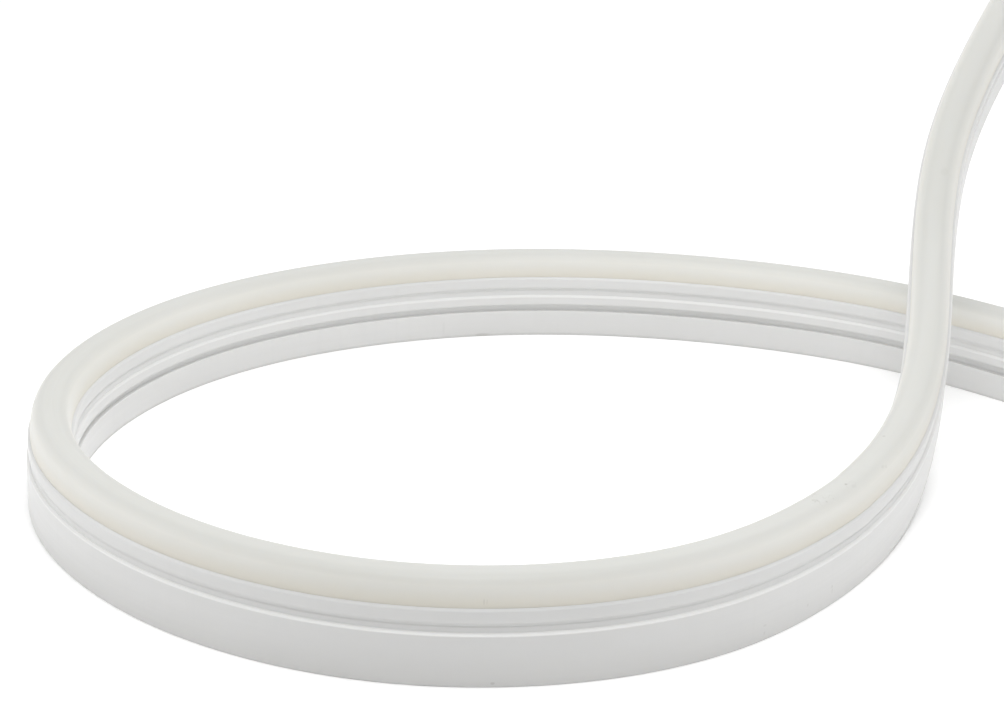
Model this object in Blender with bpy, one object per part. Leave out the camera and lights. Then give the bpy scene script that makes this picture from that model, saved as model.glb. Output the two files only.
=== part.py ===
"""LED neon flex: one metre of side-bending light strip, laid in an open loop.

The flex is a white jacket with a milky diffuser set in its top and a strip of LEDs standing
inside it. It lies on the floor with its light face up, and its free end rises over the
strand behind. Metres, +Z up. The origin is on the floor, under the middle of the flex's box.
"""

import math

import bmesh
import bpy
import numpy as np
from mathutils import Matrix

MM = 0.001

# Stock
FLEX_LENGTH = 1.0
STATION_STEP = 12.5 * MM
LIE_FLAT = 0.1 * MM

# Section of the jacket, seen square on, with its underside at height 0
FLEX_WIDTH = 12.0 * MM
FLEX_HEIGHT = 25.0 * MM
BASE_CHAMFER = 0.7 * MM
LEDGE_HEIGHT = 12.2 * MM
LEDGE_CHAMFER = 0.4 * MM
GROOVE_HEIGHT = 2.7 * MM
GROOVE_DEPTH = 1.1 * MM
LIP_HEIGHT = 3.0 * MM
LIP_SETBACK = 0.2 * MM
LIP_CHAMFER = 0.3 * MM

# Slit down the side of the jacket that lies inside the loop
SLIT_HEIGHT = 8.8 * MM
SLIT_WIDTH = 0.8 * MM
SLIT_DEPTH = 1.8 * MM

# Diffuser, seated in the jacket's mouth
MARGIN = 0.9 * MM
SEAT_DEPTH = 3.0 * MM
DOME_SQUARENESS = 2.8
DOME_POINTS = 9
TONGUE_TAPER = 0.5 * MM

# LED strip, standing on edge in the jacket's slot
BOARD_THICKNESS = 1.2 * MM
BOARD_HEIGHT = 8.0 * MM
SLOT_FLOOR = 4.0 * MM
CHAMBER_WIDTH = 4.4 * MM
CHAMBER_HEIGHT = 2.4 * MM
FIT_GAP = 0.3 * MM
WELD = 0.001 * MM

# Route of the middle of the underside in millimetres, from the end behind to the end that
# stands up. The last value is the turn of the light face about the flex, in degrees.
ROUTE = (
    (244.0, -47.0, 0.0, 0.0),
    (221.0, -13.5, 0.0, 0.0),
    (196.0, 18.5, 0.0, 0.0),
    (168.5, 47.0, 0.0, 0.0),
    (142.0, 72.5, 0.0, 0.0),
    (112.0, 94.0, 0.0, 0.0),
    (77.5, 107.5, 0.0, 0.0),
    (41.5, 113.5, 0.0, 0.0),
    (4.5, 112.0, 0.0, 0.0),
    (-31.0, 101.5, 0.0, 0.0),
    (-62.5, 83.0, 0.0, 0.0),
    (-88.5, 56.5, 0.0, 0.0),
    (-105.5, 24.0, 0.0, 0.0),
    (-112.0, -12.0, 0.0, 0.0),
    (-105.5, -48.5, 0.0, 0.0),
    (-87.0, -80.0, 0.0, 0.0),
    (-59.0, -104.0, 0.0, 0.0),
    (-24.5, -116.5, 0.0, 0.0),
    (12.5, -115.0, 0.0, 0.0),
    (46.0, -100.0, 0.0, 0.0),
    (72.0, -74.0, 0.0, 0.0),
    (91.5, -41.5, 0.5, 0.0),
    (105.0, -5.5, 5.0, 3.0),
    (113.0, 25.5, 18.5, 4.0),
    (117.0, 49.5, 39.5, 2.0),
    (122.0, 70.0, 67.0, 2.0),
    (138.0, 87.0, 100.0, 0.0),
    (158.5, 100.0, 130.0, -7.0),
)

# Finishes, as linear red, green and blue
JACKET_WHITE = (0.78, 0.79, 0.79, 1.0)
DIFFUSER_MILK = (0.76, 0.75, 0.70, 1.0)
BOARD_WHITE = (0.85, 0.85, 0.82, 1.0)


def clear_scene():
    """Remove whatever the open file holds."""
    for old in list(bpy.data.objects):
        bpy.data.objects.remove(old)


def new_collection(name):
    """Add a collection to the scene."""
    made = bpy.data.collections.new(name)
    bpy.context.scene.collection.children.link(made)
    return made


def finish(name, colour, roughness):
    """A plain Principled material."""
    made = bpy.data.materials.new(name)
    made.use_nodes = True
    shader = made.node_tree.nodes["Principled BSDF"]
    shader.inputs["Base Color"].default_value = colour
    shader.inputs["Roughness"].default_value = roughness
    shader.inputs["Metallic"].default_value = 0.0
    return made


def jacket_outline():
    """Points of the jacket's section, anticlockwise from its lower right corner."""
    half = FLEX_WIDTH / 2
    groove_x = half - GROOVE_DEPTH
    lip_x = half - LIP_SETBACK
    groove_top = LEDGE_HEIGHT + GROOVE_HEIGHT
    seat_x = half - MARGIN
    mouth = groove_top + LIP_HEIGHT
    seat_floor = mouth - SEAT_DEPTH
    chamber_x = CHAMBER_WIDTH / 2
    chamber_floor = seat_floor - CHAMBER_HEIGHT
    slot_x = BOARD_THICKNESS / 2 + FIT_GAP

    side = [
        (half - BASE_CHAMFER, 0.0),
        (half, BASE_CHAMFER),
        (half, LEDGE_HEIGHT - LEDGE_CHAMFER),
        (half - LEDGE_CHAMFER, LEDGE_HEIGHT),
        (groove_x, LEDGE_HEIGHT),
        (groove_x, groove_top),
        (lip_x, groove_top),
        (lip_x, mouth - LIP_CHAMFER),
        (lip_x - LIP_CHAMFER, mouth),
        (seat_x, mouth),
        (seat_x - TONGUE_TAPER, seat_floor),
        (chamber_x, seat_floor),
        (chamber_x, chamber_floor),
        (slot_x, chamber_floor),
        (slot_x, SLOT_FLOOR),
    ]
    slit = [
        (half, SLIT_HEIGHT - SLIT_WIDTH / 2),
        (half - SLIT_DEPTH, SLIT_HEIGHT),
        (half, SLIT_HEIGHT + SLIT_WIDTH / 2),
    ]
    inner_side = side[:2] + slit + side[2:]
    return side + [(-x, y) for x, y in reversed(inner_side)]


def diffuser_outline():
    """Points of the diffuser's section: a milky dome on a tongue that fills the seat."""
    mouth = LEDGE_HEIGHT + GROOVE_HEIGHT + LIP_HEIGHT
    half = FLEX_WIDTH / 2 - MARGIN - FIT_GAP
    floor = mouth - SEAT_DEPTH + FIT_GAP
    dome_height = FLEX_HEIGHT - mouth
    points = [(-half + TONGUE_TAPER, floor), (half - TONGUE_TAPER, floor)]
    for step in range(DOME_POINTS):
        turn = math.pi * step / (DOME_POINTS - 1)
        across = math.copysign(abs(math.cos(turn)) ** (2 / DOME_SQUARENESS), math.cos(turn))
        up = max(math.sin(turn), 0.0) ** (2 / DOME_SQUARENESS)
        points.append((half * across, mouth + dome_height * up))
    return points


def strip_outline():
    """Points of the LED strip's section: the board that carries the LEDs, standing on edge."""
    half = BOARD_THICKNESS / 2
    floor = SLOT_FLOOR + FIT_GAP
    top = floor + BOARD_HEIGHT
    return [(-half, floor), (half, floor), (half, top), (-half, top)]


def natural_spline(knots, values, at):
    """Read a natural cubic spline through values at knots, for each place in at."""
    count = len(knots)
    gaps = np.diff(knots)
    system = np.zeros((count, count))
    right = np.zeros((count, values.shape[1]))
    system[0, 0] = system[-1, -1] = 1.0
    for i in range(1, count - 1):
        system[i, i - 1:i + 2] = gaps[i - 1], 2 * (gaps[i - 1] + gaps[i]), gaps[i]
        right[i] = 6 * ((values[i + 1] - values[i]) / gaps[i] - (values[i] - values[i - 1]) / gaps[i - 1])
    bend = np.linalg.solve(system, right)
    span = np.clip(np.searchsorted(knots, at) - 1, 0, count - 2)
    gap = gaps[span][:, None]
    ahead = (knots[span + 1] - at)[:, None]
    behind = (at - knots[span])[:, None]
    curve = (bend[span] * ahead ** 3 + bend[span + 1] * behind ** 3) / (6 * gap)
    line = (values[span] / gap - bend[span] * gap / 6) * ahead
    line += (values[span + 1] / gap - bend[span + 1] * gap / 6) * behind
    return curve + line


def route_stations():
    """Even stations along the route, counted back from the standing end, and their turns."""
    route = np.array(ROUTE)[::-1]
    places = route[:, :3] * MM
    steps = np.linalg.norm(np.diff(places, axis=0), axis=1)
    knots = np.concatenate([[0.0], np.cumsum(steps)])
    fine = np.linspace(0.0, knots[-1], 4000)
    smooth = natural_spline(knots, np.column_stack([places, route[:, 3]]), fine)
    run = np.concatenate([[0.0], np.cumsum(np.linalg.norm(np.diff(smooth[:, :3], axis=0), axis=1))])
    count = round(FLEX_LENGTH / STATION_STEP)
    marks = np.linspace(0.0, FLEX_LENGTH, count + 1)
    stations = np.column_stack([np.interp(marks, run, smooth[:, k]) for k in range(4)])
    beyond = marks > run[-1]
    heading = (smooth[-1] - smooth[-2]) / (run[-1] - run[-2])
    stations[beyond] = smooth[-1] + (marks[beyond] - run[-1])[:, None] * heading
    stations[stations[:, 2] < LIE_FLAT, 2:] = 0.0
    return stations[::-1]


def add_profile(name, outline, guides):
    """A closed flat outline that a curve carries along."""
    flat = bpy.data.curves.new(name, "CURVE")
    flat.dimensions = "2D"
    flat.fill_mode = "NONE"
    spline = flat.splines.new("POLY")
    spline.points.add(len(outline) - 1)
    for point, (x, y) in zip(spline.points, outline):
        point.co = (x, y, 0.0, 1.0)
    spline.use_cyclic_u = True
    guide = bpy.data.objects.new(name, flat)
    guide.hide_render = True
    guide.display_type = "WIRE"
    guides.objects.link(guide)
    return guide


def add_sweep(name, outline, stations, material, parts, guides):
    """Carry an outline along the stations as one closed solid."""
    path = bpy.data.curves.new(name, "CURVE")
    path.dimensions = "3D"
    path.twist_mode = "MINIMUM"
    path.resolution_u = 1
    path.render_resolution_u = 0
    spline = path.splines.new("POLY")
    spline.points.add(len(stations) - 1)
    for point, (x, y, z, turn) in zip(spline.points, stations):
        point.co = (x, y, z, 1.0)
        point.tilt = math.radians(turn)
    path.bevel_mode = "OBJECT"
    path.bevel_object = add_profile(name + "_section", outline, guides)
    path.use_fill_caps = True
    carried = bpy.data.objects.new(name + "_path", path)
    guides.objects.link(carried)
    bpy.context.view_layer.update()
    mesh = bpy.data.meshes.new_from_object(carried.evaluated_get(bpy.context.evaluated_depsgraph_get()))
    bpy.data.objects.remove(carried)
    shell = bmesh.new()
    shell.from_mesh(mesh)
    bmesh.ops.remove_doubles(shell, verts=shell.verts, dist=WELD)
    bmesh.ops.recalc_face_normals(shell, faces=shell.faces)
    shell.to_mesh(mesh)
    shell.free()
    mesh.name = name
    mesh.materials.clear()
    mesh.materials.append(material)
    part = bpy.data.objects.new(name, mesh)
    parts.objects.link(part)
    return part


def centre_on_floor(parts):
    """Move the finished solids so that the origin is under the middle of their box."""
    corners = [corner for part in parts.objects for corner in part.bound_box]
    low = np.min(corners, axis=0)
    high = np.max(corners, axis=0)
    shift = Matrix.Translation((-(low[0] + high[0]) / 2, -(low[1] + high[1]) / 2, -low[2]))
    for part in parts.objects:
        part.data.transform(shift)


def main():
    clear_scene()
    parts = new_collection("led_neon_flex")
    guides = new_collection("guides")
    stations = route_stations()
    white = finish("jacket_white", JACKET_WHITE, 0.45)
    milk = finish("diffuser_milk", DIFFUSER_MILK, 0.4)
    board = finish("board_white", BOARD_WHITE, 0.5)
    add_sweep("jacket", jacket_outline(), stations, white, parts, guides)
    add_sweep("diffuser", diffuser_outline(), stations, milk, parts, guides)
    add_sweep("led_strip", strip_outline(), stations, board, parts, guides)
    centre_on_floor(parts)


main()
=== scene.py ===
"""LED neon flex: the looks of one metre of side-bending light strip, laid in an open loop.

The white jacket, the milky diffuser and the LED strip follow the same route as the solids,
and carry the finer form of the extrusion: rounded lips, clip grooves and the slit that
closes where the loop bends tightly.
"""

import math

import bmesh
import bpy
import numpy as np
from mathutils import Matrix, Vector
from mathutils.geometry import tessellate_polygon


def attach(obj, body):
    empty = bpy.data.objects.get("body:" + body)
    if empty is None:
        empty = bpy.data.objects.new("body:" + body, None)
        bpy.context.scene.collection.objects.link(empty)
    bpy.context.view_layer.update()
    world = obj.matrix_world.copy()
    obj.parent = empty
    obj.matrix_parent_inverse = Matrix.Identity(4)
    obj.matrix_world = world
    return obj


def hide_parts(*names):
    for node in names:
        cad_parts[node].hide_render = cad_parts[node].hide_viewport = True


bl_info = {
    "name": "LED neon flex",
    "version": (1, 0, 0),
    "blender": (4, 5, 0),
    "location": "View3D > Sidebar > Neon flex",
    "description": "Dresses a length of side-bending LED neon flex and lights it on a pale floor",
    "category": "Object",
}

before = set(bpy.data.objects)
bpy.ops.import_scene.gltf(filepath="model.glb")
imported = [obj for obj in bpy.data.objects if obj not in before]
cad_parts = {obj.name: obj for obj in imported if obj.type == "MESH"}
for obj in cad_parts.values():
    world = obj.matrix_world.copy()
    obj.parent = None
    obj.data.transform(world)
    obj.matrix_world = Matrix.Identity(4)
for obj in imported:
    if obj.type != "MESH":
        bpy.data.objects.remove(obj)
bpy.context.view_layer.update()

MM = 0.001
FLEX_LENGTH = 1.0
FLEX_WIDTH = 12.0 * MM
FLEX_HEIGHT = 25.0 * MM
LEDGE_HEIGHT = 12.2 * MM
MOUTH_HEIGHT = 17.9 * MM
SLIT_HEIGHT = 8.8 * MM
ROUTE_SHIFT = Vector((-63.5916 * MM, 1.7996 * MM, 0.0))

# Route of the middle of the underside in metres, from the lying end to the standing end.
# The last value is the turn of the light face about the flex, in degrees.
ROUTE = (
    (0.2440, -0.0470, 0.0000, 0.0),
    (0.2210, -0.0135, 0.0000, 0.0),
    (0.1960, 0.0185, 0.0000, 0.0),
    (0.1685, 0.0470, 0.0000, 0.0),
    (0.1420, 0.0725, 0.0000, 0.0),
    (0.1120, 0.0940, 0.0000, 0.0),
    (0.0775, 0.1075, 0.0000, 0.0),
    (0.0415, 0.1135, 0.0000, 0.0),
    (0.0045, 0.1120, 0.0000, 0.0),
    (-0.0310, 0.1015, 0.0000, 0.0),
    (-0.0625, 0.0830, 0.0000, 0.0),
    (-0.0885, 0.0565, 0.0000, 0.0),
    (-0.1055, 0.0240, 0.0000, 0.0),
    (-0.1120, -0.0120, 0.0000, 0.0),
    (-0.1055, -0.0485, 0.0000, 0.0),
    (-0.0870, -0.0800, 0.0000, 0.0),
    (-0.0590, -0.1040, 0.0000, 0.0),
    (-0.0245, -0.1165, 0.0000, 0.0),
    (0.0125, -0.1150, 0.0000, 0.0),
    (0.0460, -0.1000, 0.0000, 0.0),
    (0.0720, -0.0740, 0.0000, 0.0),
    (0.0915, -0.0415, 0.0005, 0.0),
    (0.1050, -0.0055, 0.0050, 3.0),
    (0.1130, 0.0255, 0.0185, 4.0),
    (0.1170, 0.0495, 0.0395, 2.0),
    (0.1220, 0.0700, 0.0670, 2.0),
    (0.1380, 0.0870, 0.1000, 0.0),
    (0.1585, 0.1000, 0.1300, -7.0),
)
# Steps in which the route is read, and how many of them to each side even out its bend.
SPLINE_STEPS = 6000
RAIL_STEPS = 4000
EVEN_STEPS = 100
# Where the route rises less than this, the flex lies on the floor.
FLAT_RISE = 0.1 * MM
# Bend, as one over its radius in metres, that closes the slit as far as it goes.
CLOSING_BEND = 9.5

# The jacket's clip groove and inside: half widths, depths below the mouth, the heights of the
# lip's foot and of the slot's floor, and the rounding of the jacket's two lower corners.
LIP_FOOT = LEDGE_HEIGHT + 2.55 * MM
GROOVE_HALF = 5.05 * MM
MOUTH_HALF = 5.02 * MM
SEAT_HALF, SEAT_DEPTH = 4.6 * MM, 2.4 * MM
CHAMBER_HALF, CHAMBER_DEPTH = 2.2 * MM, 5.4 * MM
SLOT_HALF, SLOT_FLOOR = 0.9 * MM, 4.0 * MM
FOOT_ROUND = 0.35 * MM
# The slit, as shares of its width: its depth, and its two edges at the skin and inside.
SLIT_DEPTH = 0.8
SLIT_LOW_SKIN, SLIT_LOW_INSIDE = 0.78, 0.8

# The diffuser: its dome, and the tongue under it.
DOME_HALF = 5.03 * MM
DOME_POINTS = 33
DOME_EDGE = 0.1 * MM
TONGUE_HALF, TONGUE_DEPTH = 4.5 * MM, 2.3 * MM

# The board on edge, and the LEDs between two cutting marks.
BOARD_HALF, BOARD_LOW, BOARD_HIGH = 0.3 * MM, 4.3 * MM, 14.2 * MM
LEDS_PER_CUT = 6
# What sits on the board: its middle beside the board and above the underside, then its size.
PACKAGE = ((1.0 * MM, 13.4 * MM), (3.8 * MM, 1.2 * MM, 1.2 * MM))
WINDOW = ((1.0 * MM, 14.03 * MM), (2.8 * MM, 0.8 * MM, 0.1 * MM))
PAD = ((0.33 * MM, 11.4 * MM), (2.0 * MM, 0.08 * MM, 1.4 * MM))

# Small marks in millimetres along the flex, across it and above its underside, then how far
# each reaches in those directions and how strong it is.
DIFFUSER_MARKS = (
    ((789.5, -1.2, 24.9), (0.45, 0.5, 1.0), 0.30),
    ((755.9, 1.2, 24.9), (0.5, 0.5, 1.0), 0.34),
    ((757.0, 2.7, 24.5), (1.3, 0.6, 1.0), 0.07),
    ((744.4, 2.3, 24.7), (0.4, 0.4, 1.0), 0.18),
    ((747.2, 2.5, 24.6), (0.3, 0.3, 1.0), 0.12),
    ((773.5, 3.6, 23.8), (1.1, 0.4, 0.6), 0.10),
    ((774.9, 3.9, 23.4), (1.0, 0.4, 0.6), 0.09),
    ((909.4, 1.3, 24.9), (1.7, 1.4, 2.0), 0.05),
    ((653.3, 5.0, 19.6), (0.2, 1.0, 0.9), 0.17),
    ((653.9, 5.0, 19.6), (0.15, 1.0, 0.8), 0.12),
)
SCUFFS = (
    ((745.0, 0.2, 25.0), (6.0, 3.6, 3.0), 0.24),
    ((757.0, 1.5, 24.9), (4.0, 2.6, 3.0), 0.10),
)
JACKET_MARKS = (
    ((743.7, 6.0, 4.8), (0.35, 1.0, 0.5), 0.20),
    ((743.9, 6.0, 3.6), (0.3, 1.0, 0.9), 0.13),
    ((733.8, 6.0, 3.7), (0.4, 1.0, 0.5), 0.14),
    ((718.8, 6.0, 3.7), (0.7, 1.0, 0.4), 0.11),
    ((718.8, 6.0, 1.8), (0.4, 1.0, 0.5), 0.14),
    ((655.5, 6.0, 1.0), (0.6, 1.0, 0.4), 0.24),
    ((323.7, -6.0, 3.4), (0.6, 1.0, 2.6), 0.05),
    ((311.0, -6.0, 0.5), (3.0, 1.0, 0.7), 0.18),
)

# Finishes: how light scatters in both plastics and the sheen on them, how far grain stretches
# along the flex or up its walls, how deep it is, and the tints of dull plastic and of traces.
SCATTER_COLOUR = (1.0, 0.9, 0.75)
SCATTER_DEPTH = 2.0 * MM
PLASTIC_SHEEN, SHEEN_ROUGHNESS = 0.25, 0.3
ALONG_FLEX = (0.02, 1.0, 1.0)
UP_WALLS = (1.0, 0.04, 0.04)
CLOUD_STRETCH = (0.3, 1.0, 1.0)
GRAIN_DEPTH = 0.03 * MM
DULL_WHITE = 0.955
DULL_CREAM = (0.95, 0.95, 0.93, 1.0)
TRACE_COLOUR = (0.78, 0.74, 0.66, 1.0)
LED_WHITE = (0.86, 0.86, 0.84, 1.0)
SOLDER_GREY = (0.62, 0.62, 0.60, 1.0)
WHITE = (1.0, 1.0, 1.0, 1.0)
# From the inner wall to the outer one, and how far painted shade reaches up each wall: a broad
# darkening low on the outer wall, and a thin painted shadow along the inner wall's foot.
WALL = 5.0 * MM
LOW_SHADE_HEIGHT, LOW_SHADE_STRENGTH = 9.0 * MM, 0.12
FOOT_SHADOW_START, FOOT_SHADOW_END, FOOT_SHADOW_STRENGTH = 0.5 * MM, 0.9 * MM, 0.15

# The stage: each light's place and aim, and its width and depth, all in metres.
FLOOR_REACH = 6.0
LIGHTS = (
    ("back", (0.0, 0.75, 0.8), (0.0, 0.45, 0.0), 1.0, 1.0),
    ("left", (-0.7, 0.0, 0.3), (-0.05, 0.0, 0.02), 0.4, 0.4),
    ("right", (0.7, 0.0, 0.3), (-0.05, 0.0, 0.02), 0.4, 0.4),
    ("top", (-0.04, -0.25, 1.0), (-0.03, -0.1, 0.0), 0.5, 0.5),
    ("over", (0.0, 0.0, 0.3), (0.0, 0.05, 0.0), 0.3, 0.1),
    ("front", (-0.06, -0.11, 0.18), (-0.06, 0.12, 0.05), 0.34, 0.05),
)
CAMERA_PLACE = ROUTE_SHIFT + Vector((0.0, -0.574, 0.23554))
CAMERA_PITCH, CAMERA_ROLL = math.radians(19.784), math.radians(2.103)
CAMERA_LENS, CAMERA_SENSOR, CAMERA_NEAR = 85.2, 36.0, 0.01


class FlexSizes(bpy.types.PropertyGroup):
    """Sizes of the extrusion's finer form."""

    stations: bpy.props.IntProperty(
        name="Stations", description="Rings along the metre of flex",
        default=400, min=40, max=800)
    slit_open: bpy.props.FloatProperty(
        name="Open slit", description="Width of the side slit where the flex lies straight",
        default=2.1 * MM, unit="LENGTH")
    slit_closed: bpy.props.FloatProperty(
        name="Closed slit", description="Width of the side slit where the flex bends tightest",
        default=1.3 * MM, unit="LENGTH")
    lip_round: bpy.props.FloatProperty(
        name="Lip rounding", description="Rounding of the lip above the clip groove",
        default=0.6 * MM, unit="LENGTH")
    ledge_round: bpy.props.FloatProperty(
        name="Ledge rounding", description="Rounding of the ledge under the clip groove",
        default=0.45 * MM, unit="LENGTH")
    dome_squareness: bpy.props.FloatProperty(
        name="Dome squareness", description="2 is a round light face, more is flatter on top",
        default=2.8, min=2.0, max=6.0)
    led_pitch: bpy.props.FloatProperty(
        name="LED pitch", description="Distance from one LED to the next",
        default=8.333 * MM, unit="LENGTH")


class FlexColours(bpy.types.PropertyGroup):
    """Colours of the finishes."""

    jacket: bpy.props.FloatVectorProperty(
        name="Jacket", description="White of the jacket",
        subtype="COLOR", size=4, default=(0.668, 0.668, 0.66, 1.0), min=0.0, max=1.0)
    # Painted highlight: a lighter white for the thin ledge edge, standing in for light catching it.
    edge: bpy.props.FloatVectorProperty(
        name="Jacket edge",
        description="Thin edge of the ledge, where light comes through the plastic",
        subtype="COLOR", size=4, default=(0.775, 0.775, 0.765, 1.0), min=0.0, max=1.0)
    milk: bpy.props.FloatVectorProperty(
        name="Diffuser", description="Milky cream of the light face",
        subtype="COLOR", size=4, default=(0.59, 0.592, 0.567, 1.0), min=0.0, max=1.0)
    # Painted light: the dome's shoulders are coloured lighter than its top, standing in for light
    # reaching them.
    lit_flank: bpy.props.FloatVectorProperty(
        name="Diffuser flank",
        description="Lighter cream where light comes through the shoulders",
        subtype="COLOR", size=4, default=(0.705, 0.70, 0.665, 1.0), min=0.0, max=1.0)
    # Partly the plastic's warmer tint, partly painted shade low on the dome where it meets the lip.
    seam: bpy.props.FloatVectorProperty(
        name="Diffuser seam", description="Warmer cream low on the light face",
        subtype="COLOR", size=4, default=(0.665, 0.635, 0.56, 1.0), min=0.0, max=1.0)
    # Dark colour of the specks and scuffs, and also of the painted shade low on the jacket's walls.
    grime_and_shade: bpy.props.FloatVectorProperty(
        name="Grime", description="Small specks and handling marks",
        subtype="COLOR", size=4, default=(0.20, 0.185, 0.15, 1.0), min=0.0, max=1.0)
    board: bpy.props.FloatVectorProperty(
        name="Board", description="White solder mask of the LED strip",
        subtype="COLOR", size=4, default=(0.82, 0.82, 0.79, 1.0), min=0.0, max=1.0)
    phosphor: bpy.props.FloatVectorProperty(
        name="Phosphor", description="Yellow window of an unlit white LED",
        subtype="COLOR", size=4, default=(0.80, 0.62, 0.12, 1.0), min=0.0, max=1.0)


class StageSettings(bpy.types.PropertyGroup):
    """Floor and light."""

    floor: bpy.props.FloatVectorProperty(
        name="Floor", description="Pale floor",
        subtype="COLOR", size=4, default=(0.97, 0.97, 0.97, 1.0), min=0.0, max=1.0)
    glow: bpy.props.FloatProperty(
        name="Floor glow", description="Light of the floor itself, like a light table's",
        default=0.08, min=0.0)
    back_power: bpy.props.FloatProperty(
        name="Back light", description="Power of the broad light behind the loop",
        default=2.7, min=0.0, unit="POWER")
    left_power: bpy.props.FloatProperty(
        name="Left light", description="Power of the light beside the round end",
        default=0.88, min=0.0, unit="POWER")
    right_power: bpy.props.FloatProperty(
        name="Right light", description="Power of the light beside the standing end",
        default=0.88, min=0.0, unit="POWER")
    top_power: bpy.props.FloatProperty(
        name="Top light", description="Power of the light high above the front strand",
        default=4.0, min=0.0, unit="POWER")
    over_power: bpy.props.FloatProperty(
        name="Over light", description="Power of the light above the middle of the loop",
        default=0.025, min=0.0, unit="POWER")
    front_power: bpy.props.FloatProperty(
        name="Front light", description="Power of the low light over the front strand",
        default=0.075, min=0.0, unit="POWER")
    fill: bpy.props.FloatProperty(
        name="Fill", description="Strength of the white surroundings",
        default=0.56, min=0.0)


def natural_spline(knots, values, at):
    """Read a natural cubic spline through values at knots, for each place in at."""
    count = len(knots)
    gaps = np.diff(knots)
    slopes = np.diff(values, axis=0) / gaps[:, None]
    system = np.zeros((count, count))
    right = np.zeros((count, values.shape[1]))
    system[0, 0] = system[-1, -1] = 1.0
    for i in range(1, count - 1):
        system[i, i - 1:i + 2] = gaps[i - 1], 2 * (gaps[i - 1] + gaps[i]), gaps[i]
        right[i] = 6 * (slopes[i] - slopes[i - 1])
    bend = np.linalg.solve(system, right)
    span = np.clip(np.searchsorted(knots, at) - 1, 0, count - 2)
    gap = gaps[span][:, None]
    ahead = (knots[span + 1] - at)[:, None]
    behind = (at - knots[span])[:, None]
    curve = (bend[span] * ahead ** 3 + bend[span + 1] * behind ** 3) / (6 * gap)
    line = (values[span] / gap - bend[span] * gap / 6) * ahead
    line += (values[span + 1] / gap - bend[span + 1] * gap / 6) * behind
    return curve + line


def run_along(points):
    """How far along a line each of its points lies."""
    steps = np.linalg.norm(np.diff(points, axis=0), axis=1)
    return np.concatenate([[0.0], np.cumsum(steps)])


def flex_line(marks):
    """Places, headings, sides, ups and bend of the flex at these lengths from its lying end."""
    route = np.array(ROUTE)[::-1]
    knots = run_along(route[:, :3])
    smooth = natural_spline(knots, route, np.linspace(0.0, knots[-1], SPLINE_STEPS))
    run = run_along(smooth[:, :3])
    fine = np.linspace(FLEX_LENGTH, 0.0, RAIL_STEPS + 1)
    rail = np.column_stack([np.interp(fine, run, column) for column in smooth.T])
    flat = rail[:, 2] < FLAT_RISE
    rail[flat, 2:] = 0.0
    places = rail[:, :3]
    heading = np.gradient(places, axis=0)
    heading /= np.linalg.norm(heading, axis=1)[:, None]
    up = np.zeros_like(places)
    up[0] = (0.0, 0.0, 1.0)
    for i in range(1, len(places)):
        carried = up[i - 1] - heading[i] * (up[i - 1] @ heading[i])
        up[i] = carried / np.linalg.norm(carried)
    turn = np.radians(rail[:, 3])[:, None]
    up = up * np.cos(turn) + np.cross(heading, up) * np.sin(turn)
    side = np.cross(heading, up)
    bend = -(np.gradient(heading, axis=0) * side).sum(1) / (FLEX_LENGTH / RAIL_STEPS)
    window = 2 * EVEN_STEPS + 1
    even = np.convolve(
        np.pad(bend, EVEN_STEPS, mode="edge"), np.ones(window) / window, mode="valid")
    lengths = np.linspace(0.0, FLEX_LENGTH, RAIL_STEPS + 1)

    def at(values):
        return np.column_stack([np.interp(marks, lengths, column) for column in values.T])

    shift = np.array(ROUTE_SHIFT)
    return at(places) + shift, at(heading), at(side), at(up), at(even[:, None])[:, 0]


def rounded(corners, segments=4):
    """An outline through corners given as (x, z, rounding), with each rounding as a curve."""
    points = []
    count = len(corners)
    for i, (x, z, radius) in enumerate(corners):
        here = np.array((x, z))
        if radius <= 0.0:
            points.append(here)
            continue
        before = np.array(corners[i - 1][:2]) - here
        after = np.array(corners[(i + 1) % count][:2]) - here
        reach_before, reach_after = np.linalg.norm(before), np.linalg.norm(after)
        before /= reach_before
        after /= reach_after
        half = math.acos(float(np.clip(before @ after, -1.0, 1.0))) / 2
        cut = min(radius / math.tan(half), 0.48 * reach_before, 0.48 * reach_after)
        start, end = here + before * cut, here + after * cut
        for step in range(segments + 1):
            t = step / segments
            points.append((1 - t) ** 2 * start + 2 * t * (1 - t) * here + t ** 2 * end)
    return np.array(points)


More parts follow.
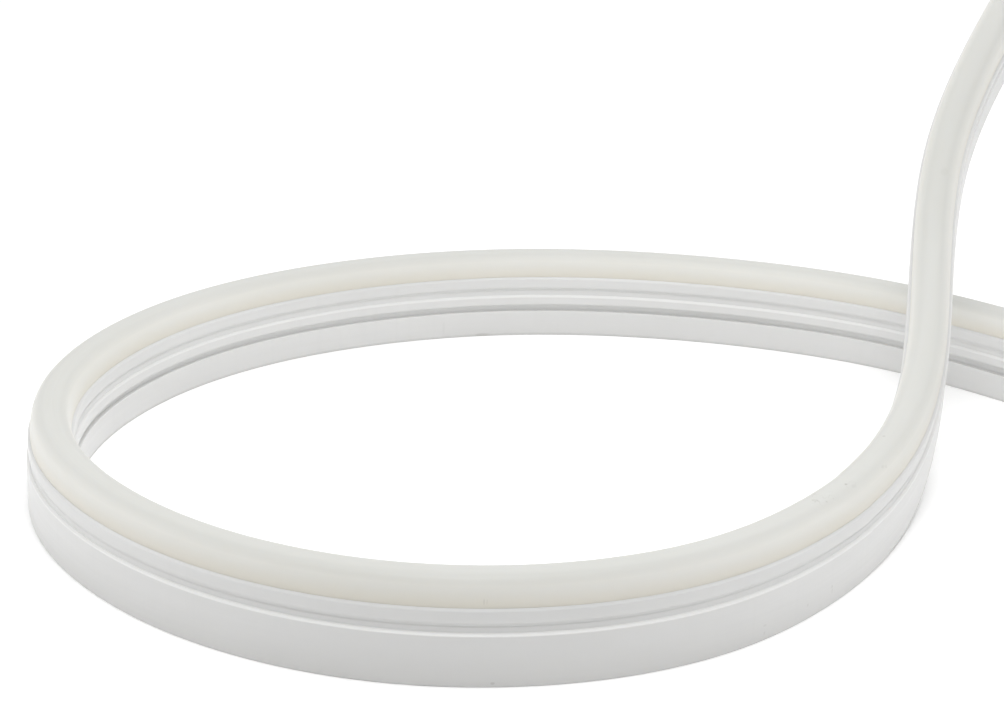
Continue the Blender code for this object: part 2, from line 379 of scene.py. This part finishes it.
def jacket_section(slit, sizes):
    """The jacket's section for one width of the side slit, anticlockwise."""
    half = FLEX_WIDTH / 2
    mouth = [
        (half, LEDGE_HEIGHT - 0.2 * MM, 0.1 * MM),
        (5.45 * MM, LEDGE_HEIGHT + 0.2 * MM, 0.1 * MM),
        (5.25 * MM, LEDGE_HEIGHT + 0.25 * MM, 0.15 * MM),
        (5.2 * MM, LIP_FOOT - 1.1 * MM, 0.4 * MM),
        (GROOVE_HALF, LIP_FOOT - 0.8 * MM, 0.3 * MM),
        (GROOVE_HALF, LIP_FOOT + 0.1 * MM, 0.2 * MM),
        (5.65 * MM, LIP_FOOT + 0.1 * MM, 0.15 * MM),
        (5.62 * MM, MOUTH_HEIGHT - 0.4 * MM, sizes.lip_round),
        (MOUTH_HALF, MOUTH_HEIGHT + 0.2 * MM, 0.05 * MM),
        (SEAT_HALF, MOUTH_HEIGHT - SEAT_DEPTH, 0.1 * MM),
        (CHAMBER_HALF, MOUTH_HEIGHT - SEAT_DEPTH, 0.0),
        (CHAMBER_HALF, MOUTH_HEIGHT - CHAMBER_DEPTH, 0.0),
        (SLOT_HALF, MOUTH_HEIGHT - CHAMBER_DEPTH, 0.0),
        (SLOT_HALF, SLOT_FLOOR, 0.0),
    ]
    inner = [(-x, z, r) for x, z, r in reversed(mouth[1:])]
    deep = SLIT_DEPTH * slit - half
    inner += [
        (-5.75 * MM, LEDGE_HEIGHT - 0.3 * MM, sizes.ledge_round),
        (-half, SLIT_HEIGHT + slit / 2, 0.6 * MM),
        (deep, SLIT_HEIGHT + slit / 3, 0.3 * MM),
        (deep, SLIT_HEIGHT - slit * SLIT_LOW_INSIDE, 0.3 * MM),
        (-half, SLIT_HEIGHT - slit * SLIT_LOW_SKIN, 0.2 * MM),
        (-half, 0.0, FOOT_ROUND),
    ]
    return rounded([(half, 0.0, FOOT_ROUND), *mouth, *inner])


def diffuser_section(sizes):
    """The milky dome on the tongue that sits in the jacket's mouth."""
    tongue = MOUTH_HEIGHT - TONGUE_DEPTH
    brim = MOUTH_HEIGHT - DOME_EDGE
    points = [(-TONGUE_HALF, tongue), (TONGUE_HALF, tongue), (DOME_HALF, brim)]
    power = 2 / sizes.dome_squareness
    for turn in np.linspace(0.0, math.pi, DOME_POINTS):
        across = math.copysign(abs(math.cos(turn)) ** power, math.cos(turn))
        rise = max(math.sin(turn), 0.0) ** power
        points.append((DOME_HALF * across, MOUTH_HEIGHT + (FLEX_HEIGHT - MOUTH_HEIGHT) * rise))
    points.append((-DOME_HALF, brim))
    return np.array(points)


def placed(name, data):
    """A new object in the scene, at the origin."""
    made = bpy.data.objects.new(name, data)
    bpy.context.scene.collection.objects.link(made)
    return made


def sweep(name, sections, marks, material):
    """Carry sections along the flex as one closed skin, with its own coordinates along it."""
    places, _, side, up, _ = flex_line(marks)
    rings, ring = len(marks), sections.shape[1]
    points = places[:, None] + side[:, None] * sections[:, :, :1] + up[:, None] * sections[:, :, 1:]
    i, j = np.meshgrid(np.arange(rings - 1), np.arange(ring), indexing="ij")
    here, ahead, following = i * ring, (i + 1) * ring, (j + 1) % ring
    corners = (here + j, here + following, ahead + following, ahead + j)
    faces = [tuple(face) for face in np.stack(corners, -1).reshape(-1, 4).tolist()]
    for which, start in ((0, 0), (-1, (rings - 1) * ring)):
        flat = [Vector((x, z, 0.0)) for x, z in sections[which]]
        faces += [tuple(start + k for k in triangle) for triangle in tessellate_polygon([flat])]
    mesh = bpy.data.meshes.new(name)
    mesh.from_pydata(points.reshape(-1, 3).tolist(), [], faces)
    shell = bmesh.new()
    shell.from_mesh(mesh)
    bmesh.ops.recalc_face_normals(shell, faces=shell.faces)
    shell.to_mesh(mesh)
    shell.free()
    flex = np.column_stack([np.repeat(marks, ring), sections.reshape(-1, 2)])
    layer = mesh.attributes.new("flex", "FLOAT_VECTOR", "POINT")
    layer.data.foreach_set("vector", flex.astype(np.float32).ravel())
    mesh.materials.append(material)
    mesh.shade_smooth()
    mesh.set_sharp_from_angle(angle=math.radians(35))
    return placed(name, mesh)


def group_tree(name, kind, sockets):
    """A new node group with these sockets, given as (direction, name, type, default)."""
    made = bpy.data.node_groups.new(name, kind)
    for direction, label, socket_type, default in sockets:
        socket = made.interface.new_socket(label, in_out=direction, socket_type=socket_type)
        if default is not None:
            socket.default_value = default
    return made


def added(tree, kind, inputs=None, **settings):
    """A new node, its settings made first, then each input given a value or an output."""
    node = tree.nodes.new(kind)
    for label, value in settings.items():
        setattr(node, label, value)
    for socket, value in (inputs or {}).items():
        if isinstance(value, bpy.types.NodeSocket):
            tree.links.new(value, node.inputs[socket])
        else:
            node.inputs[socket].default_value = value
    return node


def grain_group():
    """Fine lines that the extrusion die leaves along the flex, and slow clouds in the plastic."""
    known = bpy.data.node_groups.get("Extrusion grain")
    if known:
        return known
    tree = group_tree("Extrusion grain", "ShaderNodeTree", (
        ("INPUT", "Place", "NodeSocketVector", None),
        ("INPUT", "Line stretch", "NodeSocketVector", ALONG_FLEX),
        ("INPUT", "Line scale", "NodeSocketFloat", 1500.0),
        ("INPUT", "Cloud scale", "NodeSocketFloat", 60.0),
        ("OUTPUT", "Lines", "NodeSocketFloat", None),
        ("OUTPUT", "Clouds", "NodeSocketFloat", None),
    ))
    given = added(tree, "NodeGroupInput").outputs
    stretched = added(tree, "ShaderNodeVectorMath", {
        0: given["Place"], 1: given["Line stretch"]}, operation="MULTIPLY")
    lines = added(tree, "ShaderNodeTexNoise", {
        "Vector": stretched.outputs[0], "Scale": given["Line scale"], "Detail": 2.0})
    squashed = added(tree, "ShaderNodeVectorMath", {
        0: given["Place"], 1: CLOUD_STRETCH}, operation="MULTIPLY")
    clouds = added(tree, "ShaderNodeTexNoise", {
        "Vector": squashed.outputs[0], "Scale": given["Cloud scale"], "Detail": 3.0})
    added(tree, "NodeGroupOutput", {
        "Lines": lines.outputs["Fac"], "Clouds": clouds.outputs["Fac"]})
    return tree


def speck_group():
    """A soft-edged mark at one place on the flex, kept with the marks before it."""
    known = bpy.data.node_groups.get("Speck")
    if known:
        return known
    tree = group_tree("Speck", "ShaderNodeTree", (
        ("INPUT", "Place", "NodeSocketVector", None),
        ("INPUT", "Centre", "NodeSocketVector", None),
        ("INPUT", "Reach", "NodeSocketVector", None),
        ("INPUT", "Strength", "NodeSocketFloat", 1.0),
        ("INPUT", "Earlier", "NodeSocketFloat", 0.0),
        ("OUTPUT", "Mask", "NodeSocketFloat", None),
    ))
    given = added(tree, "NodeGroupInput").outputs
    offset = added(tree, "ShaderNodeVectorMath", {
        0: given["Place"], 1: given["Centre"]}, operation="SUBTRACT")
    share = added(tree, "ShaderNodeVectorMath", {
        0: offset.outputs["Vector"], 1: given["Reach"]}, operation="DIVIDE")
    away = added(tree, "ShaderNodeVectorMath", {0: share.outputs["Vector"]}, operation="LENGTH")
    fade = added(tree, "ShaderNodeMapRange", {
        "Value": away.outputs["Value"], "From Min": 0.45, "From Max": 1.0,
        "To Min": 1.0, "To Max": 0.0}, interpolation_type="SMOOTHSTEP")
    weighed = joined(tree, "MULTIPLY", fade.outputs[0], given["Strength"])
    kept = joined(tree, "MAXIMUM", weighed, given["Earlier"])
    added(tree, "NodeGroupOutput", {"Mask": kept})
    return tree


def joined(tree, operation, first, second):
    """Two values added, multiplied or compared."""
    return added(tree, "ShaderNodeMath", {0: first, 1: second}, operation=operation).outputs[0]


def mixed(tree, factor, first, second, blend="MIX"):
    """A colour mix of two colours or outputs."""
    return added(tree, "ShaderNodeMix", {0: factor, 6: first, 7: second},
                 data_type="RGBA", blend_type=blend).outputs[2]


def ranged(tree, source, start, end, low=0.0, high=1.0):
    """A value that goes from low to high while the source goes from start to end."""
    return added(tree, "ShaderNodeMapRange", {
        "Value": source, "From Min": start, "From Max": end,
        "To Min": low, "To Max": high}).outputs[0]


def flex_place(tree):
    """A point's place along the flex, across it and above its underside."""
    return added(tree, "ShaderNodeAttribute", attribute_name="flex").outputs["Vector"]


def grained(tree, place, inputs):
    """The outputs of the grain group at this place, with these inputs."""
    return added(
        tree, "ShaderNodeGroup", {"Place": place, **inputs}, node_tree=grain_group()).outputs


def marked(tree, place, marks):
    """The joined mask of marks given as place, reach and strength, in millimetres."""
    mask = 0.0
    for centre, reach, strength in marks:
        mask = added(tree, "ShaderNodeGroup", {
            "Place": place, "Centre": [c * MM for c in centre], "Reach": [r * MM for r in reach],
            "Strength": strength, "Earlier": mask}, node_tree=speck_group()).outputs["Mask"]
    return mask


def darker(colour, share):
    """This share of a colour."""
    return tuple(c * share for c in colour[:3]) + (1.0,)


def plastic(name, roughness, coat=0.0, scatter=0.0, sheen=0.0):
    """A new Principled material, with its node tree and the shader's inputs."""
    made = bpy.data.materials.new(name)
    made.use_nodes = True
    inputs = made.node_tree.nodes["Principled BSDF"].inputs
    inputs["Roughness"].default_value = roughness
    inputs["Coat Weight"].default_value = coat
    inputs["Subsurface Weight"].default_value = scatter
    inputs["Subsurface Radius"].default_value = SCATTER_COLOUR
    inputs["Subsurface Scale"].default_value = SCATTER_DEPTH
    inputs["Sheen Weight"].default_value = sheen
    inputs["Sheen Roughness"].default_value = SHEEN_ROUGHNESS
    return made, made.node_tree, inputs


def finished(tree, inputs, colour, lines, smooth, rough, strength):
    """Feed the colour, and let the die lines vary the roughness and raise the surface."""
    tree.links.new(colour, inputs["Base Color"])
    tree.links.new(ranged(tree, lines, 0.3, 0.7, smooth, rough), inputs["Roughness"])
    bump = added(tree, "ShaderNodeBump", {
        "Strength": strength, "Distance": GRAIN_DEPTH, "Height": lines})
    tree.links.new(bump.outputs[0], inputs["Normal"])


def jacket_material(colours):
    """White plastic with faint die lines, soft clouds and a few specks, a painted highlight on the
    ledge and painted shade low on the walls.
    """
    made, tree, inputs = plastic("jacket_white", 0.42, scatter=0.15, sheen=PLASTIC_SHEEN)
    place = flex_place(tree)
    grain = grained(tree, place, {"Line scale": 1400.0, "Cloud scale": 45.0})
    streaks = grained(tree, place, {"Line stretch": UP_WALLS, "Line scale": 420.0})
    white, dull = tuple(colours.jacket), darker(colours.jacket, DULL_WHITE)
    edge, grime_and_shade = tuple(colours.edge), tuple(colours.grime_and_shade)
    cloudy = mixed(tree, ranged(tree, grain["Clouds"], 0.35, 0.7), white, dull)
    lined = mixed(tree, ranged(tree, grain["Lines"], 0.45, 0.75, 0.0, 0.35), cloudy, dull)
    streaked = mixed(tree, ranged(tree, streaks["Lines"], 0.52, 0.8, 0.0, 0.5), lined, dull)

    parts = added(tree, "ShaderNodeSeparateXYZ", {0: place}).outputs
    across, rise = parts["Y"], parts["Z"]
    # Painted highlight: a narrow band at the ledge takes the lighter edge colour, stronger on the
    # outer wall than on the inner one.
    under = ranged(tree, rise, LEDGE_HEIGHT - 0.5 * MM, LEDGE_HEIGHT - 0.25 * MM)
    over = ranged(tree, rise, LEDGE_HEIGHT + 0.25 * MM, LEDGE_HEIGHT + 0.45 * MM, 1.0, 0.0)
    lit = ranged(tree, across, -WALL, WALL, 0.6, 1.0)
    highlight_band = joined(tree, "MULTIPLY", joined(tree, "MULTIPLY", under, over), lit)
    highlighted = mixed(tree, highlight_band, streaked, edge)

    # Painted shade: darker towards the bottom of the outer wall, and a thin painted shadow along
    # the foot of the inner wall.
    outer = ranged(tree, across, -WALL, WALL, 0.15, 1.0)
    inner = ranged(tree, across, -WALL, WALL, 1.0, 0.0)
    low = ranged(tree, rise, 0.0, LOW_SHADE_HEIGHT, LOW_SHADE_STRENGTH, 0.0)
    foot = ranged(tree, rise, FOOT_SHADOW_START, FOOT_SHADOW_END, FOOT_SHADOW_STRENGTH, 0.0)
    painted_shade = joined(tree, "ADD", joined(tree, "MULTIPLY", outer, low),
                  joined(tree, "MULTIPLY", inner, foot))
    shaded = mixed(tree, painted_shade, highlighted, grime_and_shade)
    marks = marked(tree, place, JACKET_MARKS)
    finished(tree, inputs, mixed(tree, marks, shaded, grime_and_shade), grain["Lines"], 0.38, 0.48, 0.25)
    return made


def milk_material(colours):
    """Milky cream plastic, with painted light on the dome's shoulders, a warmer cream with painted
    shade towards the seam, die lines, specks and fine scuffs.
    """
    made, tree, inputs = plastic("diffuser_milk", 0.52, scatter=0.3, sheen=PLASTIC_SHEEN)
    place = flex_place(tree)
    grain = grained(tree, place, {"Line scale": 1800.0, "Cloud scale": 60.0})
    grime_and_shade = tuple(colours.grime_and_shade)
    height = added(tree, "ShaderNodeSeparateXYZ", {0: place}).outputs["Z"]
    # Painted light and shade: the shoulders take the lighter flank colour, fading to the warmer,
    # darker seam colour low down and to the milk colour on top.
    rise = ranged(tree, height, MOUTH_HEIGHT, MOUTH_HEIGHT + 4.0 * MM)
    crown = ranged(tree, height, FLEX_HEIGHT - 2.2 * MM, FLEX_HEIGHT - 0.4 * MM)
    shoulder_tint_and_light = mixed(tree, rise, tuple(colours.seam), tuple(colours.lit_flank))
    cream = mixed(tree, crown, shoulder_tint_and_light, tuple(colours.milk))
    cloud = ranged(tree, grain["Clouds"], 0.35, 0.7, 0.0, 0.5)
    cloudy = mixed(tree, cloud, cream, DULL_CREAM, "MULTIPLY")
    spotted = mixed(tree, marked(tree, place, DIFFUSER_MARKS), cloudy, grime_and_shade)

    wander = added(tree, "ShaderNodeTexNoise", {"Vector": place, "Scale": 330.0, "Detail": 1.0})
    rising = ranged(tree, wander.outputs["Fac"], 0.486, 0.498)
    falling = ranged(tree, wander.outputs["Fac"], 0.502, 0.514, 1.0, 0.0)
    hairs = joined(tree, "MULTIPLY", joined(tree, "MULTIPLY", rising, falling),
                   marked(tree, place, SCUFFS))
    finished(tree, inputs, mixed(tree, hairs, spotted, grime_and_shade), grain["Lines"], 0.46, 0.58, 0.2)
    return made


def board_material(colours):
    """White solder mask with faint traces under it."""
    made, tree, inputs = plastic("board_white", 0.35, coat=0.2)
    grain = grained(tree, flex_place(tree), {"Line scale": 900.0})
    trace = ranged(tree, grain["Lines"], 0.5, 0.56, 0.0, 0.5)
    board = mixed(tree, trace, tuple(colours.board), TRACE_COLOUR)
    tree.links.new(board, inputs["Base Color"])
    return made


def plain_material(name, colour, roughness, metallic=0.0):
    """A small part's finish, with a little unevenness from object space."""
    made, tree, inputs = plastic(name, roughness)
    inputs["Metallic"].default_value = metallic
    where = added(tree, "ShaderNodeTexCoord").outputs["Object"]
    noise = added(tree, "ShaderNodeTexNoise", {"Vector": where, "Scale": 900.0})
    uneven = ranged(tree, noise.outputs["Fac"], 0.4, 0.7, 0.0, 0.6)
    tree.links.new(mixed(tree, uneven, tuple(colour), darker(colour, 0.85)), inputs["Base Color"])
    return made


def repeated_blocks(name, marks, block, material):
    """Small blocks set along the flex by geometry nodes, then turned into one plain mesh."""
    (beside, above), size = block
    places, heading, side, up, _ = flex_line(marks)
    mesh = bpy.data.meshes.new(name)
    mesh.from_pydata((places + side * beside + up * above).tolist(), [], [])
    turns = [Matrix((h, s, u)).transposed().to_euler() for h, s, u in zip(heading, -side, up)]
    layer = mesh.attributes.new("facing", "FLOAT_VECTOR", "POINT")
    layer.data.foreach_set("vector", np.array([tuple(t) for t in turns], np.float32).ravel())
    points = placed(name, mesh)
    tree = group_tree(name, "GeometryNodeTree", (
        ("INPUT", "Geometry", "NodeSocketGeometry", None),
        ("INPUT", "Size", "NodeSocketVector", None),
        ("INPUT", "Material", "NodeSocketMaterial", None),
        ("OUTPUT", "Geometry", "NodeSocketGeometry", None),
    ))
    given = added(tree, "NodeGroupInput").outputs
    cube = added(tree, "GeometryNodeMeshCube", {"Size": given["Size"]})
    facing = added(
        tree, "GeometryNodeInputNamedAttribute", {"Name": "facing"}, data_type="FLOAT_VECTOR")
    spread = added(tree, "GeometryNodeInstanceOnPoints", {
        "Points": given["Geometry"], "Instance": cube.outputs["Mesh"],
        "Rotation": facing.outputs["Attribute"]})
    real = added(
        tree, "GeometryNodeRealizeInstances", {"Geometry": spread.outputs["Instances"]})
    paint = added(tree, "GeometryNodeSetMaterial", {
        "Geometry": real.outputs["Geometry"], "Material": given["Material"]})
    added(tree, "NodeGroupOutput", {"Geometry": paint.outputs["Geometry"]})
    modifier = points.modifiers.new(name, "NODES")
    modifier.node_group = tree
    chosen = {"Size": size, "Material": material}
    for item in tree.interface.items_tree:
        if item.in_out == "INPUT" and item.name in chosen:
            modifier[item.identifier] = chosen[item.name]
    bpy.context.view_layer.update()
    evaluated = points.evaluated_get(bpy.context.evaluated_depsgraph_get())
    points.data = bpy.data.meshes.new_from_object(evaluated)
    points.modifiers.clear()
    points.data.name = name
    return points


def stations(context):
    """The lengths along the flex at which its skins have a ring."""
    return np.linspace(0.0, FLEX_LENGTH, context.scene.flex_sizes.stations + 1)


class NEONFLEX_OT_jacket(bpy.types.Operator):
    """Make the white jacket with its lips, clip grooves and side slit"""

    bl_idname = "neonflex.jacket"
    bl_label = "Jacket"

    def execute(self, context):
        sizes, marks = context.scene.flex_sizes, stations(context)
        tight = np.clip(flex_line(marks)[4] / CLOSING_BEND, 0.0, 1.0)
        slits = sizes.slit_open + (sizes.slit_closed - sizes.slit_open) * tight
        sections = np.array([jacket_section(slit, sizes) for slit in slits])
        white = jacket_material(context.scene.flex_colours)
        piece = sweep("jacket_skin", sections, marks, white)
        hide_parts("jacket")
        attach(piece, "root")
        return {"FINISHED"}


class NEONFLEX_OT_diffuser(bpy.types.Operator):
    """Make the milky light face"""

    bl_idname = "neonflex.diffuser"
    bl_label = "Diffuser"

    def execute(self, context):
        marks = stations(context)
        section = diffuser_section(context.scene.flex_sizes)
        sections = np.repeat(section[None], len(marks), axis=0)
        milk = milk_material(context.scene.flex_colours)
        piece = sweep("diffuser_skin", sections, marks, milk)
        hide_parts("diffuser")
        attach(piece, "root")
        return {"FINISHED"}


class NEONFLEX_OT_leds(bpy.types.Operator):
    """Make the board that stands in the jacket, with its LEDs and solder pads"""

    bl_idname = "neonflex.leds"
    bl_label = "LED strip"

    def execute(self, context):
        sizes, colours = context.scene.flex_sizes, context.scene.flex_colours
        marks = np.linspace(0.0, FLEX_LENGTH, sizes.stations // 2 + 1)
        outline = np.array([
            (-BOARD_HALF, BOARD_LOW), (BOARD_HALF, BOARD_LOW),
            (BOARD_HALF, BOARD_HIGH), (-BOARD_HALF, BOARD_HIGH)])
        sections = np.repeat(outline[None], len(marks), axis=0)
        board = sweep("led_board", sections, marks, board_material(colours))
        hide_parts("led_strip")
        count = int(FLEX_LENGTH / sizes.led_pitch)
        spots = (np.arange(count) + 0.5) * sizes.led_pitch
        gaps = spots[LEDS_PER_CUT - 1::LEDS_PER_CUT] + sizes.led_pitch / 2
        white = plain_material("led_white", LED_WHITE, 0.4)
        yellow = plain_material("led_phosphor", colours.phosphor, 0.3)
        solder = plain_material("solder", SOLDER_GREY, 0.3, metallic=1.0)
        pieces = [
            board,
            repeated_blocks("led_packages", spots, PACKAGE, white),
            repeated_blocks("led_windows", spots, WINDOW, yellow),
            repeated_blocks("solder_pads", gaps, PAD, solder),
        ]
        for piece in pieces:
            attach(piece, "root")
        return {"FINISHED"}


def lay_floor(settings):
    """The pale floor, which glows a little as a light table does."""
    mesh = bpy.data.meshes.new("floor")
    reach = FLOOR_REACH
    mesh.from_pydata(
        [(-reach, -reach, 0), (reach, -reach, 0), (reach, reach, 0), (-reach, reach, 0)],
        [], [(0, 1, 2, 3)])
    floor = placed("floor", mesh)
    paper = bpy.data.materials.new("floor_paper")
    paper.use_nodes = True
    inputs = paper.node_tree.nodes["Principled BSDF"].inputs
    inputs["Base Color"].default_value = tuple(settings.floor)
    inputs["Roughness"].default_value = 0.9
    inputs["Specular IOR Level"].default_value = 0.1
    inputs["Emission Color"].default_value = WHITE
    inputs["Emission Strength"].default_value = settings.glow
    mesh.materials.append(paper)


def hang_lights(settings):
    """White surroundings and the soft lights round the loop."""
    world = bpy.data.worlds.new("studio")
    bpy.context.scene.world = world
    world.use_nodes = True
    background = world.node_tree.nodes["Background"]
    background.inputs["Color"].default_value = WHITE
    background.inputs["Strength"].default_value = settings.fill
    for name, place, aim, wide, deep in LIGHTS:
        light = bpy.data.lights.new(name, "AREA")
        light.shape = "RECTANGLE"
        light.size, light.size_y = wide, deep
        light.energy = getattr(settings, name + "_power")
        facing = (Vector(place) - Vector(aim)).to_track_quat("Z", "Y").to_matrix().to_4x4()
        placed(name, light).matrix_world = Matrix.Translation(place) @ facing


def set_camera():
    """The camera at the photograph's place, looking down and leaning a little."""
    lens = bpy.data.cameras.new("camera")
    lens.sensor_width = CAMERA_SENSOR
    lens.lens = CAMERA_LENS
    lens.clip_start = CAMERA_NEAR
    ahead = Vector((0.0, math.cos(CAMERA_PITCH), -math.sin(CAMERA_PITCH)))
    above = Vector((0.0, math.sin(CAMERA_PITCH), math.cos(CAMERA_PITCH)))
    right = Vector((1.0, 0.0, 0.0))
    across = right * math.cos(CAMERA_ROLL) + above * math.sin(CAMERA_ROLL)
    upward = above * math.cos(CAMERA_ROLL) - right * math.sin(CAMERA_ROLL)
    turned = Matrix((across, upward, -ahead)).transposed().to_4x4()
    camera = placed("camera", lens)
    camera.matrix_world = Matrix.Translation(CAMERA_PLACE) @ turned
    bpy.context.scene.camera = camera


class NEONFLEX_OT_stage(bpy.types.Operator):
    """Lay the pale floor, set the soft light and place the camera"""

    bl_idname = "neonflex.stage"
    bl_label = "Stage"

    def execute(self, context):
        context.scene.view_settings.view_transform = "Standard"
        lay_floor(context.scene.flex_stage)
        hang_lights(context.scene.flex_stage)
        set_camera()
        return {"FINISHED"}


class NEONFLEX_PT_panel(bpy.types.Panel):
    """Lists the sizes, the colours and the steps of the neon flex"""

    bl_idname = "NEONFLEX_PT_panel"
    bl_label = "LED neon flex"
    bl_space_type = "VIEW_3D"
    bl_region_type = "UI"
    bl_category = "Neon flex"

    def draw(self, context):
        scene = context.scene
        for settings in (scene.flex_sizes, scene.flex_colours, scene.flex_stage):
            column = self.layout.column()
            for label in settings.__annotations__:
                column.prop(settings, label)
        for step in STEPS:
            self.layout.operator(step.bl_idname)


STEPS = (NEONFLEX_OT_stage, NEONFLEX_OT_jacket, NEONFLEX_OT_diffuser, NEONFLEX_OT_leds)
CLASSES = (FlexSizes, FlexColours, StageSettings, *STEPS, NEONFLEX_PT_panel)


def register():
    for cls in CLASSES:
        bpy.utils.register_class(cls)
    bpy.types.Scene.flex_sizes = bpy.props.PointerProperty(type=FlexSizes)
    bpy.types.Scene.flex_colours = bpy.props.PointerProperty(type=FlexColours)
    bpy.types.Scene.flex_stage = bpy.props.PointerProperty(type=StageSettings)


def unregister():
    del bpy.types.Scene.flex_sizes
    del bpy.types.Scene.flex_colours
    del bpy.types.Scene.flex_stage
    for cls in reversed(CLASSES):
        bpy.utils.unregister_class(cls)


def declare_flex():
    """Read the flex's places and ups at its stations, and do nothing further with them."""
    places, _, _, up, _ = flex_line(stations(bpy.context))


def main():
    register()
    bpy.ops.neonflex.stage()
    bpy.ops.neonflex.jacket()
    bpy.ops.neonflex.diffuser()
    bpy.ops.neonflex.leds()
    declare_flex()


if __name__ == "__main__":
    main()
